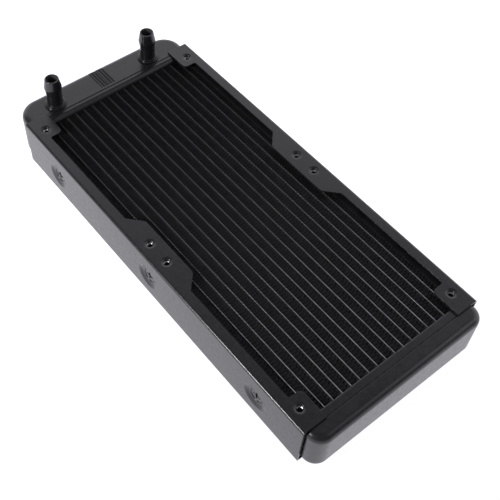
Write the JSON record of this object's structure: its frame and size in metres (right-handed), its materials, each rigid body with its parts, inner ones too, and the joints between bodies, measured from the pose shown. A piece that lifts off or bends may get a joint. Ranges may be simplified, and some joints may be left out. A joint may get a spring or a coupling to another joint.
{
  "type": "liquid cooling radiator",
  "caption": "Flat black radiator for two square fans: flat tubes and folded fins between a deep port tank with upright hose barbs and a shallow end tank, held by C-shaped side channels.",
  "frame": {"origin": "centre of the eight fan holes, in the plane of the bottom flanges", "axes": "+X along the radiator from the port tank to the end tank, +Y across it, +Z out of the fan face on the hose barbs' side"},
  "size_m": [0.2732, 0.12, 0.0515],
  "materials": {
    "powder_coat": "satin black powder coat on aluminium",
    "barb_coat": "satin black coat on turned aluminium",
    "core_coat": "thin satin black coat on flat tube and plate",
    "fin_coat": "matt black coat on folded sheet",
    "bare_aluminium": "brazed mill finish",
    "screw_steel": "black oxide steel",
    "nut_steel": "zinc plated steel"
  },
  "bodies": {
    "root": {"side_channel_left": "powder_coat", "side_channel_right": "powder_coat", "port_tank": "powder_coat", "end_tank": "powder_coat", "header_plate_port": "powder_coat", "header_plate_end": "powder_coat", "hose_barb_inlet": "barb_coat", "hose_barb_outlet": "barb_coat", "tank_divider": "bare_aluminium", "core_side_plate_left": "core_coat", "channel_screws_left": "screw_steel", "clinch_nuts_left": "nut_steel", "core_side_plate_right": "core_coat", "channel_screws_right": "screw_steel", "clinch_nuts_right": "nut_steel", "coolant_tube_01": "core_coat", "coolant_tube_02": "core_coat", "coolant_tube_03": "core_coat", "coolant_tube_04": "core_coat", "coolant_tube_05": "core_coat", "coolant_tube_06": "core_coat", "coolant_tube_07": "core_coat", "coolant_tube_08": "core_coat", "coolant_tube_09": "core_coat", "coolant_tube_10": "core_coat", "coolant_tube_11": "core_coat", "coolant_tube_12": "core_coat", "coolant_tube_13": "core_coat", "coolant_tube_14": "core_coat", "coolant_tube_15": "core_coat", "coolant_tube_16": "core_coat", "coolant_tube_17": "core_coat", "fin_strip_01": "fin_coat", "fin_strip_02": "fin_coat", "fin_strip_03": "fin_coat", "fin_strip_04": "fin_coat", "fin_strip_05": "fin_coat", "fin_strip_06": "fin_coat", "fin_strip_07": "fin_coat", "fin_strip_08": "fin_coat", "fin_strip_09": "fin_coat", "fin_strip_10": "fin_coat", "fin_strip_11": "fin_coat", "fin_strip_12": "fin_coat", "fin_strip_13": "fin_coat", "fin_strip_14": "fin_coat", "fin_strip_15": "fin_coat", "fin_strip_16": "fin_coat", "fin_strip_17": "fin_coat", "fin_strip_18": "fin_coat"}
  },
  "joints": []
}
